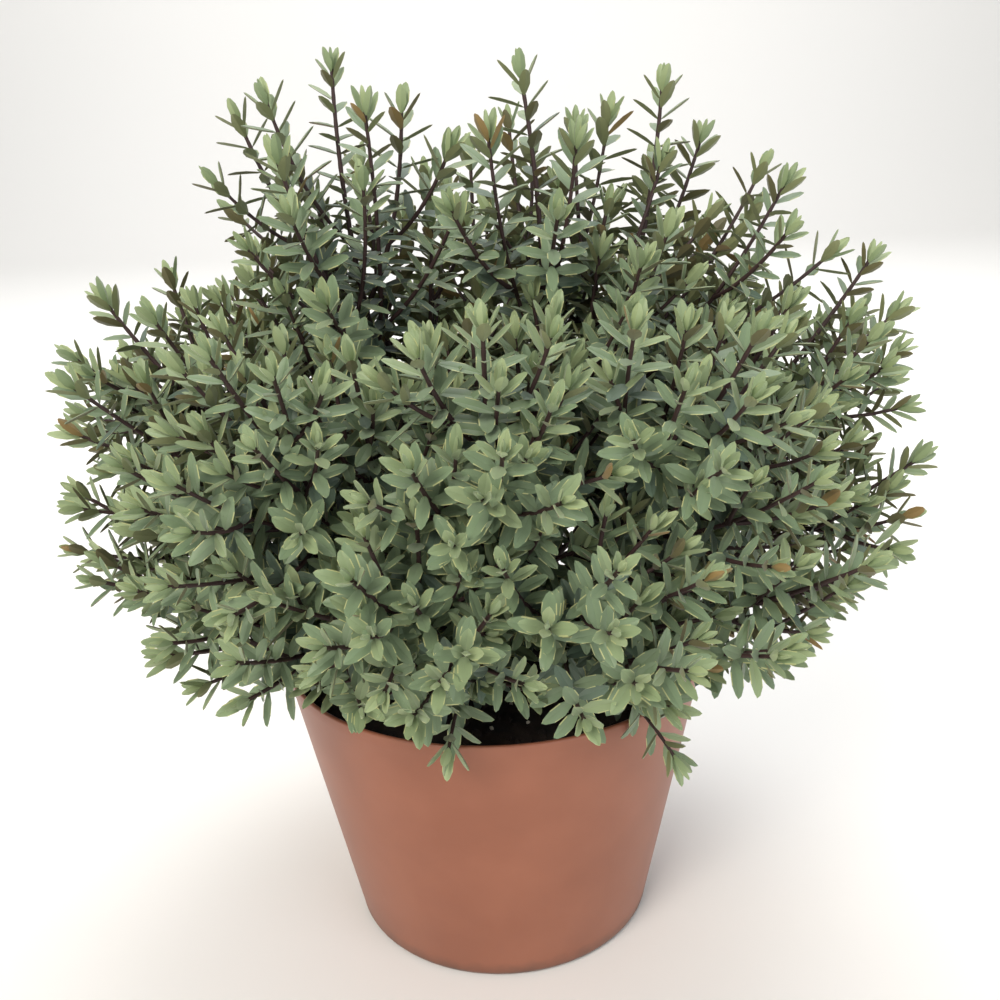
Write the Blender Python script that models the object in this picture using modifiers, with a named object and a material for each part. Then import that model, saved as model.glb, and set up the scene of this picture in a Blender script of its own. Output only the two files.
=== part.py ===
"""Potted hebe: a bushy evergreen shrub in a terracotta-coloured plastic pot.

The pot stands on its flat underside at the origin, with +Z up and the shrub's front towards -Y.
A short woody stem rises from the compost to a rounded head. Boughs leave that head all round,
sweep outwards and then upwards, and each one carries a mass of foliage. In a mass, side shoots
leave one stem in crossed pairs and every shoot ends in crossed pairs of pointed leaves.
"""
import math
import random

import bmesh
import bpy
import numpy as np
from mathutils import Matrix, Vector

MM = 0.001
UP = Vector((0.0, 0.0, 1.0))
# Sine of the angle to the vertical below which a direction counts as upright
NEARLY_UPRIGHT = 0.05

# Pot: a 19 cm plant pot with a straight tapered wall and a thin plain rim
POT_HEIGHT = 131.0 * MM
POT_RIM_RADIUS = 95.0 * MM
POT_BASE_RADIUS = 69.0 * MM
POT_WALL = 2.0 * MM
POT_FLOOR = 2.6 * MM
POT_FOOT_ROUNDING = 4.0 * MM
POT_FOOT_POINTS = 4
POT_LIP_POINTS = 5
POT_INNER_CORNER = 2.0 * MM
POT_SEGMENTS = 36
DRAIN_HOLE_RADIUS = 4.5 * MM
DRAIN_HOLE_CIRCLE = 42.0 * MM
DRAIN_HOLE_SIDES = 8
DRAIN_HOLES = 5

# Clear distance between neighbouring pieces
GAP = 0.3 * MM
# Points closer than this are one
MERGE_DISTANCE = 0.01 * MM

# Compost, a little below the rim, flat in the middle and lower at the wall
SOIL_TOP = 124.0 * MM
SOIL_EDGE_DROP = 2.0 * MM
SOIL_FLAT_RADIUS = 68.0 * MM
SOIL_LOWER_CORNER = 4.0 * MM

# Short woody stem with its root flare and its rounded head
STEM_FOOT_RADIUS = 15.0 * MM
STEM_NECK_RADIUS = 9.0 * MM
STEM_NECK_HEIGHT = 7.0 * MM
STEM_FLARE_RADIUS = 10.6 * MM
STEM_FLARE_HEIGHT = 3.2 * MM
HEAD_RADIUS = 12.0 * MM
HEAD_HEIGHT = 20.0 * MM
HEAD_UNDERSIDE_ANGLE = -40.0
HEAD_POINTS = 7
STEM_SEGMENTS = 16

# Boughs: every row is the tip that a bough and its mass reach, as direction round the pot in
# degrees (0 is +X, 270 is the front), distance from the pot's axis and height, in millimetres
TIPS = (
    (172.0, 56.0, 388.0),
    (340.0, 18.0, 382.0),
    (4.0, 76.0, 376.0),
    (92.0, 76.0, 352.0),
    (183.0, 158.0, 300.0),
    (357.0, 164.0, 306.0),
    (228.0, 140.0, 294.0),
    (270.0, 118.0, 302.0),
    (312.0, 140.0, 294.0),
    (138.0, 150.0, 308.0),
    (90.0, 150.0, 298.0),
    (44.0, 150.0, 310.0),
    (191.0, 176.0, 224.0),
    (350.0, 186.0, 224.0),
    (218.0, 168.0, 208.0),
    (252.0, 152.0, 226.0),
    (286.0, 152.0, 226.0),
    (322.0, 176.0, 208.0),
    (160.0, 180.0, 212.0),
    (125.0, 178.0, 208.0),
    (90.0, 180.0, 210.0),
    (55.0, 180.0, 210.0),
    (20.0, 184.0, 214.0),
    (236.0, 130.0, 168.0),
    (270.0, 124.0, 172.0),
    (303.0, 130.0, 168.0),
)
# Angle that a limb leaves the head at beyond its straight way to the tip
SWEEP = math.radians(15.0)
# Share of a limb that shows as its bough, before it enters the foliage
BOUGH_SHARE = 0.36
BOUGH_BASE_RADIUS = 1.9 * MM
BOUGH_TIP_RADIUS = 1.5 * MM
BOUGH_POINTS = 4
PATH_POINTS = 33

# Shoots: side shoots leave a mass's stem in pairs, each pair crosswise to the last
PAIR_PLACES = (0.06, 0.34)
FORK_ANGLE = math.radians(42.0)
FORK_SHARE = 0.4
# Angle that a side shoot settles at from its stem, for an upright and for a level stem
SETTLE_ANGLE = (math.radians(13.0), math.radians(30.0))
LIFT = 0.3
SHOOT_SHARE = (0.80, 1.0)
# A side shoot that has no room at its full length is tried shorter before it is left out
SHORTER = (1.0, 0.6)
SHOOT_RADIUS = 1.15 * MM
SHOOT_TIP_RADIUS = 0.9 * MM
SHOOT_POINTS = 3
STEM_POINTS = 4

# Leaves, larger than life because each stands for several: length, width and thickness
LEAF_SIZE = (32.0 * MM, 15.0 * MM, 1.4 * MM)
LEAF_WIDEST = 0.46
LEAF_THICKEST = 0.2
LEAF_ROOT_OFFSET = 0.15 * MM
LEAF_SWAY = math.radians(5.0)
# Every pair of a shoot, from its tip down: distance to the tip and opening angle
LEAF_PAIRS = (
    (5.0 * MM, math.radians(38.0)),
    (22.0 * MM, math.radians(56.0)),
)
STEM_LEAF_PAIRS = LEAF_PAIRS + ((42.0 * MM, math.radians(64.0)),)
# The closed upright pair of young leaves at the end of a shoot
BUD_SIZE = (20.0 * MM, 9.0 * MM, 4.0 * MM)
BUD_SINK = 1.6 * MM

# Space that a mass keeps to itself
CELL_MARGIN = 0.8 * MM
LIMB_CLEARANCE = 0.9 * MM
POT_CLEARANCE = 1.2 * MM
LOWEST_LEAF = 124.0 * MM

SEED = 19

FINISHES = {
    "pot_plastic": ((0.36, 0.135, 0.078), 0.42),
    "compost": ((0.018, 0.011, 0.007), 0.95),
    "bark": ((0.045, 0.026, 0.020), 0.8),
    "leaf": ((0.155, 0.215, 0.115), 0.5),
}


def clear_scene():
    """Remove every object that the scene starts with."""
    for item in list(bpy.data.objects):
        bpy.data.objects.remove(item, do_unlink=True)


def new_collection(name):
    """Make a collection in the scene."""
    group = bpy.data.collections.new(name)
    bpy.context.scene.collection.children.link(group)
    return group


def finish(name):
    """Return the named material, made once."""
    material = bpy.data.materials.get(name)
    if material is None:
        colour, roughness = FINISHES[name]
        material = bpy.data.materials.new(name)
        material.use_nodes = True
        shader = material.node_tree.nodes["Principled BSDF"]
        shader.inputs["Base Color"].default_value = (*colour, 1.0)
        shader.inputs["Roughness"].default_value = roughness
        shader.inputs["Metallic"].default_value = 0.0
    return material


def add_object(name, data, group, material_name=None):
    """Put a mesh or a curve in a collection as an object."""
    item = bpy.data.objects.new(name, data)
    group.objects.link(item)
    if material_name is not None:
        data.materials.append(finish(material_name))
    return item


def turned(name, outline, segments, group, material_name):
    """Turn an outline of (radius, height) points, which runs down the outer side, about Z."""
    mesh = bpy.data.meshes.new(name)
    points = [(radius, 0.0, height) for radius, height in outline]
    edges = [(i, i + 1) for i in range(len(points) - 1)]
    mesh.from_pydata(points, edges, [])
    item = add_object(name, mesh, group, material_name)
    screw = item.modifiers.new("Turn", "SCREW")
    screw.axis = "Z"
    screw.steps = segments
    screw.render_steps = segments
    screw.use_merge_vertices = True
    screw.merge_threshold = MERGE_DISTANCE
    screw.use_smooth_shade = True
    return item


def wall_radius(height):
    """Outer radius of the pot's straight wall at a height."""
    return POT_BASE_RADIUS + (POT_RIM_RADIUS - POT_BASE_RADIUS) * height / POT_HEIGHT


def arc(centre, radius, start, end, count):
    """Points of an arc in the outline's plane, with angles in degrees from +X."""
    angles = [math.radians(start + (end - start) * i / (count - 1)) for i in range(count)]
    return [(centre[0] + radius * math.cos(a), centre[1] + radius * math.sin(a)) for a in angles]


def make_pot(group, cutters):
    """Thin-walled tapered pot with a rounded lip, a rounded foot and drain holes."""
    lip_radius = POT_WALL / 2.0
    lip = arc((POT_RIM_RADIUS - lip_radius, POT_HEIGHT - lip_radius), lip_radius, 180.0, 0.0,
              POT_LIP_POINTS)
    rounding = POT_FOOT_ROUNDING
    foot_centre = (wall_radius(rounding) - rounding, rounding)
    foot = arc(foot_centre, rounding, 0.0, -90.0, POT_FOOT_POINTS)
    corner_top = POT_FLOOR + POT_INNER_CORNER
    outline = [(0.0, POT_FLOOR)]
    outline.append((wall_radius(POT_FLOOR) - POT_WALL - POT_INNER_CORNER, POT_FLOOR))
    outline.append((wall_radius(corner_top) - POT_WALL, corner_top))
    outline += lip + foot + [(0.0, 0.0)]
    pot = turned("pot", outline, POT_SEGMENTS, group, "pot_plastic")
    for i in range(DRAIN_HOLES):
        angle = 2.0 * math.pi * i / DRAIN_HOLES
        hole = bmesh.new()
        bmesh.ops.create_cone(hole, cap_ends=True, segments=DRAIN_HOLE_SIDES,
                              radius1=DRAIN_HOLE_RADIUS, radius2=DRAIN_HOLE_RADIUS,
                              depth=4.0 * POT_FLOOR)
        mesh = bpy.data.meshes.new("drain_hole_cutter")
        hole.to_mesh(mesh)
        hole.free()
        cutter = add_object("drain_hole_cutter", mesh, cutters)
        cutter.location = (DRAIN_HOLE_CIRCLE * math.cos(angle),
                           DRAIN_HOLE_CIRCLE * math.sin(angle), 0.0)
        cutter.hide_render = True
        cutter.display_type = "WIRE"
    cut = pot.modifiers.new("Drain holes", "BOOLEAN")
    cut.operation = "DIFFERENCE"
    cut.operand_type = "COLLECTION"
    cut.collection = cutters
    cut.solver = "EXACT"


def make_soil(group):
    """Compost that fills the pot, flat on top and a little lower at the wall."""
    bottom = POT_FLOOR + GAP
    edge_height = SOIL_TOP - SOIL_EDGE_DROP
    inset = POT_WALL + 2.0 * GAP
    corner_top = bottom + SOIL_LOWER_CORNER
    outline = [(0.0, SOIL_TOP), (SOIL_FLAT_RADIUS, SOIL_TOP)]
    outline.append((wall_radius(edge_height) - inset, edge_height))
    outline.append((wall_radius(corner_top) - inset, corner_top))
    outline.append((wall_radius(bottom) - inset - SOIL_LOWER_CORNER, bottom))
    outline.append((0.0, bottom))
    turned("potting_soil", outline, POT_SEGMENTS, group, "compost")


def head_centre():
    """Centre of the stem's rounded head, which every bough points away from."""
    return Vector((0.0, 0.0, SOIL_TOP + HEAD_HEIGHT))


def make_main_stem(group):
    """Short woody stem from its flat cut on the compost, through the neck, to its head."""
    foot = SOIL_TOP + GAP
    centre = (0.0, head_centre().z)
    outline = arc(centre, HEAD_RADIUS, 90.0, HEAD_UNDERSIDE_ANGLE, HEAD_POINTS)
    outline.append((STEM_NECK_RADIUS, foot + STEM_NECK_HEIGHT))
    outline.append((STEM_FLARE_RADIUS, foot + STEM_FLARE_HEIGHT))
    outline.append((STEM_FOOT_RADIUS, foot))
    outline.append((0.0, foot))
    turned("main_stem", outline, STEM_SEGMENTS, group, "bark")


def heading(azimuth, lean):
    """Unit vector that leans from the vertical towards a direction round the pot."""
    return Vector((math.sin(lean) * math.cos(azimuth), math.sin(lean) * math.sin(azimuth),
                   math.cos(lean)))


def limb_path(tip):
    """Points from the stem's head to a tip, bowed so that the limb turns up on its way."""
    azimuth = math.radians(tip[0])
    centre = head_centre()
    end = Vector((tip[1] * MM * math.cos(azimuth), tip[1] * MM * math.sin(azimuth), tip[2] * MM))
    span = (end - centre).length
    lean = math.acos((end - centre).z / span)
    leave = heading(azimuth, lean + SWEEP)
    start = centre + leave * (HEAD_RADIUS + GAP)
    bend = centre + leave * (0.5 * span / math.cos(SWEEP))
    return bow(start, bend, end, PATH_POINTS)


def bow(start, bend, end, count):
    """Points of a quadratic curve through start and end, drawn towards bend."""
    points = []
    for i in range(count):
        t = i / (count - 1)
        points.append(start * (1.0 - t) ** 2 + bend * (2.0 * t * (1.0 - t)) + end * t ** 2)
    return points


def path_length(path):
    """Length of a path of points."""
    return sum((b - a).length for a, b in zip(path, path[1:]))


def walk(path, distance):
    """Point and unit direction at a distance along a path."""
    for a, b in zip(path, path[1:]):
        step = (b - a).length
        if distance <= step:
            return a + (b - a) * (distance / step), (b - a) / step
        distance -= step
    last = (path[-1] - path[-2]).normalized()
    return path[-1] + last * distance, last


def stretch(path, begin, end, count):
    """Evenly spaced points of a path between two distances along it."""
    return [walk(path, begin + (end - begin) * i / (count - 1))[0] for i in range(count)]


def tapering(begin, end, count):
    """Radii that fall evenly from begin to end."""
    return [begin + (end - begin) * i / (count - 1) for i in range(count)]


def tube_curve(name, path, radii):
    """Curve data for a tapering tube with filled caps, whose bevel is still to be set."""
    curve = bpy.data.curves.new(name, "CURVE")
    curve.dimensions = "3D"
    curve.use_fill_caps = True
    spline = curve.splines.new("POLY")
    spline.points.add(len(path) - 1)
    for point, place, radius in zip(spline.points, path, radii):
        point.co = (*place, 1.0)
        point.radius = radius
    return curve


def make_bough(name, path, group):
    """One tapering limb along the inner part of a path."""
    length = BOUGH_SHARE * path_length(path)
    points = stretch(path, 0.0, length, BOUGH_POINTS)
    radii = tapering(BOUGH_BASE_RADIUS / MM, BOUGH_TIP_RADIUS / MM, BOUGH_POINTS)
    curve = tube_curve(name, points, radii)
    curve.bevel_depth = MM
    curve.bevel_resolution = 1
    add_object(name, curve, group, "bark")


def twig_profile(group):
    """Three-sided cross-section, of unit radius in millimetres, that twigs are swept from."""
    curve = bpy.data.curves.new("twig_profile", "CURVE")
    curve.dimensions = "2D"
    spline = curve.splines.new("POLY")
    spline.points.add(2)
    spline.use_cyclic_u = True
    for i, point in enumerate(spline.points):
        angle = 2.0 * math.pi * i / 3.0
        point.co = (MM * math.cos(angle), MM * math.sin(angle), 0.0, 1.0)
    return add_object("twig_profile", curve, group)


def twig_guide(path, begin_radius, end_radius, profile, group):
    """Curve of a three-sided twig that tapers along a path."""
    radii = tapering(begin_radius / MM, end_radius / MM, len(path))
    curve = tube_curve("twig", path, radii)
    curve.bevel_mode = "OBJECT"
    curve.bevel_object = profile
    return add_object("twig", curve, group)


def make_twigs(guides, group):
    """Turn the curves of twigs into closed meshes."""
    bpy.context.view_layer.update()
    graph = bpy.context.evaluated_depsgraph_get()
    meshes = [bpy.data.meshes.new_from_object(guide.evaluated_get(graph)) for guide in guides]
    for guide in guides:
        curve = guide.data
        bpy.data.objects.remove(guide, do_unlink=True)
        bpy.data.curves.remove(curve)
    for mesh in meshes:
        shape = bmesh.new()
        shape.from_mesh(mesh)
        bmesh.ops.remove_doubles(shape, verts=shape.verts, dist=MERGE_DISTANCE)
        bmesh.ops.recalc_face_normals(shape, faces=shape.faces)
        shape.to_mesh(mesh)
        shape.free()
    return [add_object("twig", mesh, group) for mesh in meshes]


def side_of(direction, turn):
    """Unit vector square to a direction, turned about it by an angle."""
    level = direction.cross(UP)
    if level.length < NEARLY_UPRIGHT:
        level = Vector((1.0, 0.0, 0.0)).cross(direction)
    return Matrix.Rotation(turn, 3, direction) @ level.normalized()


def leaf_frame(place, direction, side, opening):
    """Matrix of a leaf whose X runs along the blade and whose Z is its upper face."""
    blade = direction * math.cos(opening) + side * math.sin(opening)
    face = direction * math.sin(opening) - side * math.cos(opening)
    across = face.cross(blade)
    turn = Matrix((blade, across, face)).transposed().to_4x4()
    return Matrix.Translation(place + side * LEAF_ROOT_OFFSET) @ turn


def leaf_corners(frame, size):
    """Corners of a leaf: root, point, its two widest places, and its back and face."""
    length, width, thickness = size
    corners = (
        Vector((0.0, 0.0, 0.0)),
        Vector((LEAF_WIDEST * length, -0.5 * width, 0.0)),
        Vector((length, 0.0, 0.0)),
        Vector((LEAF_WIDEST * length, 0.5 * width, 0.0)),
        Vector((LEAF_THICKEST * length, 0.0, -0.5 * thickness)),
        Vector((LEAF_THICKEST * length, 0.0, 0.5 * thickness)),
    )
    return [frame @ corner for corner in corners]


def make_leaf(corners, group):
    """Closed leaf of eight faces: the hull of its six corners."""
    shape = bmesh.new()
    bmesh.ops.convex_hull(shape, input=[shape.verts.new(corner) for corner in corners])
    bmesh.ops.recalc_face_normals(shape, faces=shape.faces)
    mesh = bpy.data.meshes.new("leaf")
    shape.to_mesh(mesh)
    shape.free()
    return add_object("leaf", mesh, group)


def distance_to_path(points, path):
    """Distance from each of several points to a path, as an array."""
    spots = np.array([tuple(point) for point in points])[:, None, :]
    nodes = np.array([tuple(node) for node in path])
    begin = nodes[:-1][None]
    run = (nodes[1:] - nodes[:-1])[None]
    share = ((spots - begin) * run).sum(2) / (run * run).sum(2)
    foot = begin + np.clip(share, 0.0, 1.0)[:, :, None] * run
    return np.linalg.norm(spots - foot, axis=2).min(1)


def keeps_to_space(points, index, paths, bough):
    """Whether points lie in a mass's own space, clear of its bough, the stem, pot and compost."""
    own = distance_to_path(points, paths[index])
    for other, path in enumerate(paths):
        if other != index and (distance_to_path(points, path) < own + 2.0 * CELL_MARGIN).any():
            return False
    if (distance_to_path(points, bough) < BOUGH_BASE_RADIUS + LIMB_CLEARANCE).any():
        return False
    for point in points:
        if (point - head_centre()).length < HEAD_RADIUS + LIMB_CLEARANCE:
            return False
        if point.z < LOWEST_LEAF:
            return False
        over_pot = math.hypot(point.x, point.y) < POT_RIM_RADIUS + POT_CLEARANCE
        if over_pot and point.z < POT_HEIGHT + POT_CLEARANCE:
            return False
    return True


def between(points):
    """Points together with the midpoint of every two of them."""
    middles = [(a + b) / 2.0 for i, a in enumerate(points) for b in points[i + 1:]]
    return list(points) + middles


def make_leaves(path, pairs, turn, chance, fits, group):
    """Bud and crossed pairs of leaves of a shoot, without those that would leave their space."""
    leaves = []
    length = path_length(path)
    place, direction = walk(path, length - BUD_SINK)
    corners = leaf_corners(leaf_frame(place, direction, side_of(direction, turn), 0.0), BUD_SIZE)
    if fits(between(corners)):
        leaves.append(make_leaf(corners, group))
    for number, (below, opening) in enumerate(pairs):
        place, direction = walk(path, length - below)
        for half in (0.0, math.pi):
            sway = chance.uniform(-LEAF_SWAY, LEAF_SWAY)
            side = side_of(direction, turn + half + 0.5 * math.pi * number + sway)
            corners = leaf_corners(leaf_frame(place, direction, side, opening + sway), LEAF_SIZE)
            if fits(between(corners)):
                leaves.append(make_leaf(corners, group))
    return leaves


def side_shoot(stem, place_share, turn, reach):
    """Path of a side shoot that forks off a stem and then settles beside it, lifting a little."""
    start, along = walk(stem, place_share * path_length(stem))
    side = side_of(along, turn)
    leave = along * math.cos(FORK_ANGLE) + side * math.sin(FORK_ANGLE)
    lean = math.acos(along.z)
    angle = SETTLE_ANGLE[0] + (SETTLE_ANGLE[1] - SETTLE_ANGLE[0]) * min(2.0 * lean / math.pi, 1.0)
    settle = along * math.cos(angle) + side * math.sin(angle) + UP * LIFT
    bend = start + leave * (FORK_SHARE * reach)
    end = bend + settle.normalized() * ((1.0 - FORK_SHARE) * reach)
    return bow(start, bend, end, SHOOT_POINTS)


def fuse(base, pieces):
    """Join pieces to a base by one union, keep its one solid body and remove the pieces."""
    union = base.modifiers.new("Fuse", "BOOLEAN")
    union.operation = "UNION"
    union.operand_type = "COLLECTION"
    union.collection = pieces
    union.solver = "EXACT"
    bpy.context.view_layer.update()
    evaluated = base.evaluated_get(bpy.context.evaluated_depsgraph_get())
    mesh = bpy.data.meshes.new_from_object(evaluated)
    base.modifiers.clear()
    base.data = mesh
    for piece in list(pieces.objects):
        bpy.data.objects.remove(piece, do_unlink=True)
    bpy.data.collections.remove(pieces)
    keep_main_body(mesh)


def keep_main_body(mesh):
    """Drop loose scraps and the walls of sealed hollows: only the largest body stays."""
    shape = bmesh.new()
    shape.from_mesh(mesh)
    bmesh.ops.triangulate(shape, faces=shape.faces)
    left = set(shape.verts)
    bodies = []
    while left:
        seed = left.pop()
        body = {seed}
        front = [seed]
        while front:
            vertex = front.pop()
            for edge in vertex.link_edges:
                other = edge.other_vert(vertex)
                if other in left:
                    left.discard(other)
                    body.add(other)
                    front.append(other)
        bodies.append(body)
    bodies.sort(key=len)
    scraps = [vertex for body in bodies[:-1] for vertex in body]
    bmesh.ops.delete(shape, geom=scraps, context="VERTS")
    shape.to_mesh(mesh)
    shape.free()


def make_foliage(name, index, paths, profile, group):
    """One mass: a stem that goes on from its bough's tip, side shoots in pairs, and leaves."""
    chance = random.Random(SEED * 100 + index)
    path = paths[index]
    length = path_length(path)
    bough = stretch(path, 0.0, BOUGH_SHARE * length, BOUGH_POINTS)
    stem = stretch(path, BOUGH_SHARE * length + GAP, length - BUD_SIZE[0], STEM_POINTS)
    pieces = new_collection(name + "_pieces")

    def fits(points):
        return keeps_to_space(points, index, paths, bough)

    guides = [twig_guide(stem, BOUGH_TIP_RADIUS, SHOOT_TIP_RADIUS, profile, group)]
    make_leaves(stem, STEM_LEAF_PAIRS, chance.uniform(0.0, math.pi), chance, fits, pieces)
    first_turn = chance.uniform(0.0, math.pi)
    for number, place in enumerate(PAIR_PLACES):
        for half in (0.0, math.pi):
            turn = first_turn + half + 0.5 * math.pi * number
            reach = (1.0 - place) * path_length(stem) * chance.uniform(*SHOOT_SHARE)
            twist = chance.uniform(0.0, math.pi)
            for share in SHORTER:
                shoot = side_shoot(stem, place, turn, share * reach)
                if fits(shoot[1:]) and make_leaves(shoot, LEAF_PAIRS, twist, chance, fits, pieces):
                    radii = (SHOOT_RADIUS, SHOOT_TIP_RADIUS)
                    guides.append(twig_guide(shoot, *radii, profile, group))
                    break
    base, *shoots = make_twigs(guides, group)
    for shoot in shoots:
        group.objects.unlink(shoot)
        pieces.objects.link(shoot)
    base.name = name
    fuse(base, pieces)
    base.data.materials.append(finish("leaf"))


def main():
    """Build the pot, its compost and the whole shrub."""
    clear_scene()
    plant = new_collection("potted_hebe")
    cutters = new_collection("cutters")
    guides = new_collection("guides")
    make_pot(plant, cutters)
    make_soil(plant)
    make_main_stem(plant)
    profile = twig_profile(guides)
    paths = [limb_path(tip) for tip in TIPS]
    for index, path in enumerate(paths):
        make_bough(f"bough_{index + 1:02d}", path, plant)
        make_foliage(f"foliage_{index + 1:02d}", index, paths, profile, plant)
    bpy.data.objects.remove(profile, do_unlink=True)


main()
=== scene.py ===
"""Looks of a potted hebe: pot, compost, bark, twigs and leaves around the fixed CAD frame.

The shrub grows again here by the rule of the solids: limbs bow out of a short stem's head to
the same tips, side shoots leave each limb in crossed pairs, and every shoot carries crossed pairs
of leaves. The side shoots have random draws of their own, so they don't lie on the solids' side
shoots one by one. Finer shoots and a few that hang over the rim are added within the solids' box,
and leaves are near their real size.
"""
import logging
import math
import random
from dataclasses import dataclass, field
from enum import Enum

import bpy
import numpy as np
from mathutils import Matrix, Vector


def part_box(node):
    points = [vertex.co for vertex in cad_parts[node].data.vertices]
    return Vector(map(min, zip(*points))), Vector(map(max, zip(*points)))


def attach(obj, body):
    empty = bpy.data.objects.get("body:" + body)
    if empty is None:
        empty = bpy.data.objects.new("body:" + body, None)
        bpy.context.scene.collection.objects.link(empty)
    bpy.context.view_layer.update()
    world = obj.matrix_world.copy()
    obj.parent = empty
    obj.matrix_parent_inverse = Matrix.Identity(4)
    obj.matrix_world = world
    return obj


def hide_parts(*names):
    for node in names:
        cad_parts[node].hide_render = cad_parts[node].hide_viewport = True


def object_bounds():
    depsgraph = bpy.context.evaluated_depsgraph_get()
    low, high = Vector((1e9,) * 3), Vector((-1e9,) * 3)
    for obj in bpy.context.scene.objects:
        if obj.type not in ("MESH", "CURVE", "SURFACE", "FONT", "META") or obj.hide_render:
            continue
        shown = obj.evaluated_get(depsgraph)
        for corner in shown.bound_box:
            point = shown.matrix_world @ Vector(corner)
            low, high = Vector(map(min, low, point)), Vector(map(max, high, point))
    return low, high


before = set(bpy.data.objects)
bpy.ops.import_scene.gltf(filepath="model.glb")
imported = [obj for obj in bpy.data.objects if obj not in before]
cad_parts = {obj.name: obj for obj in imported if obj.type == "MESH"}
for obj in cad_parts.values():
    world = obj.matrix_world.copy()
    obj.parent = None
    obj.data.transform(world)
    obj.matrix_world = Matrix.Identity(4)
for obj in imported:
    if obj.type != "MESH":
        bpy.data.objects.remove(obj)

MM = 0.001
UP = np.array((0.0, 0.0, 1.0))
NEARLY_UPRIGHT = 0.05
CAD_BOX = [list(corner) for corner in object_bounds()]
LOG = logging.getLogger("potted_hebe")


def linear(code: str) -> tuple[float, float, float, float]:
    """Turn an sRGB hex colour to linear.

    Args:
        code: six hex digits after a hash.

    Returns:
        Linear red, green, blue and an alpha of one.
    """
    parts = [int(code[i:i + 2], 16) / 255.0 for i in (1, 3, 5)]
    lit = [c / 12.92 if c <= 0.04045 else ((c + 0.055) / 1.055) ** 2.4 for c in parts]
    return (*lit, 1.0)


def add_node(tree: bpy.types.NodeTree, kind: str, settings: dict | None = None,
             links: dict | None = None) -> bpy.types.Node:
    """Add a node with its settings and links.

    Args:
        tree: the material's nodes.
        kind: the node's type.
        settings: values by attribute or input name.
        links: output sockets by input name.

    Returns:
        The node.
    """
    node = tree.nodes.new(kind)
    for name, value in (settings or {}).items():
        if isinstance(name, int) or name in node.inputs:
            node.inputs[name].default_value = value
        else:
            setattr(node, name, value)
    for name, socket in (links or {}).items():
        tree.links.new(socket, node.inputs[name])
    return node


@dataclass(frozen=True)
class Finish:
    """A surface with a plain base colour and a fine procedural relief."""

    name: str
    colour: str
    roughness: float
    grain_mm: float
    relief_mm: float
    sheen: float = 0.0

    def base_colour(self, tree: bpy.types.NodeTree, place: bpy.types.NodeSocket
                    ) -> bpy.types.NodeSocket | None:
        """Return the socket that colours the surface, or None for a plain colour."""
        return None

    def material(self) -> bpy.types.Material:
        """Make the material once.

        Returns:
            The material with its relief and its colour.
        """
        made = bpy.data.materials.get(self.name)
        if made is not None:
            return made
        made = bpy.data.materials.new(self.name)
        made.use_nodes = True
        tree = made.node_tree
        shader = tree.nodes["Principled BSDF"]
        shader.inputs["Base Color"].default_value = linear(self.colour)
        shader.inputs["Roughness"].default_value = self.roughness
        shader.inputs["Sheen Weight"].default_value = self.sheen
        place = add_node(tree, "ShaderNodeTexCoord").outputs["Object"]
        noise = add_node(tree, "ShaderNodeTexNoise",
                         {"Scale": 1.0 / (self.grain_mm * MM), "Detail": 3.0},
                         {"Vector": place})
        bump = add_node(tree, "ShaderNodeBump",
                        {"Strength": 0.5, "Distance": self.relief_mm * MM},
                        {"Height": noise.outputs["Fac"]})
        tree.links.new(bump.outputs["Normal"], shader.inputs["Normal"])
        socket = self.base_colour(tree, place)
        if socket is not None:
            tree.links.new(socket, shader.inputs["Base Color"])
        made.diffuse_color = linear(self.colour)
        return made


@dataclass(frozen=True)
class Mottled(Finish):
    """A surface whose colour drifts between two tones."""

    other: str = "#000000"
    patch_mm: float = 20.0
    blend: tuple[float, float] = (0.35, 0.68)

    def base_colour(self, tree: bpy.types.NodeTree, place: bpy.types.NodeSocket
                    ) -> bpy.types.NodeSocket | None:
        """Mix the two tones by a soft noise.

        Args:
            tree: the material's nodes.
            place: the Object coordinates.

        Returns:
            The mixed colour.
        """
        noise = add_node(tree, "ShaderNodeTexNoise",
                         {"Scale": 1.0 / (self.patch_mm * MM), "Detail": 4.0},
                         {"Vector": place})
        ramp = add_node(tree, "ShaderNodeValToRGB", links={"Fac": noise.outputs["Fac"]})
        stops = ramp.color_ramp.elements
        for stop, position, tone in zip(stops, self.blend, (self.colour, self.other)):
            stop.position = position
            stop.color = linear(tone)
        return ramp.outputs["Color"]


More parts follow.
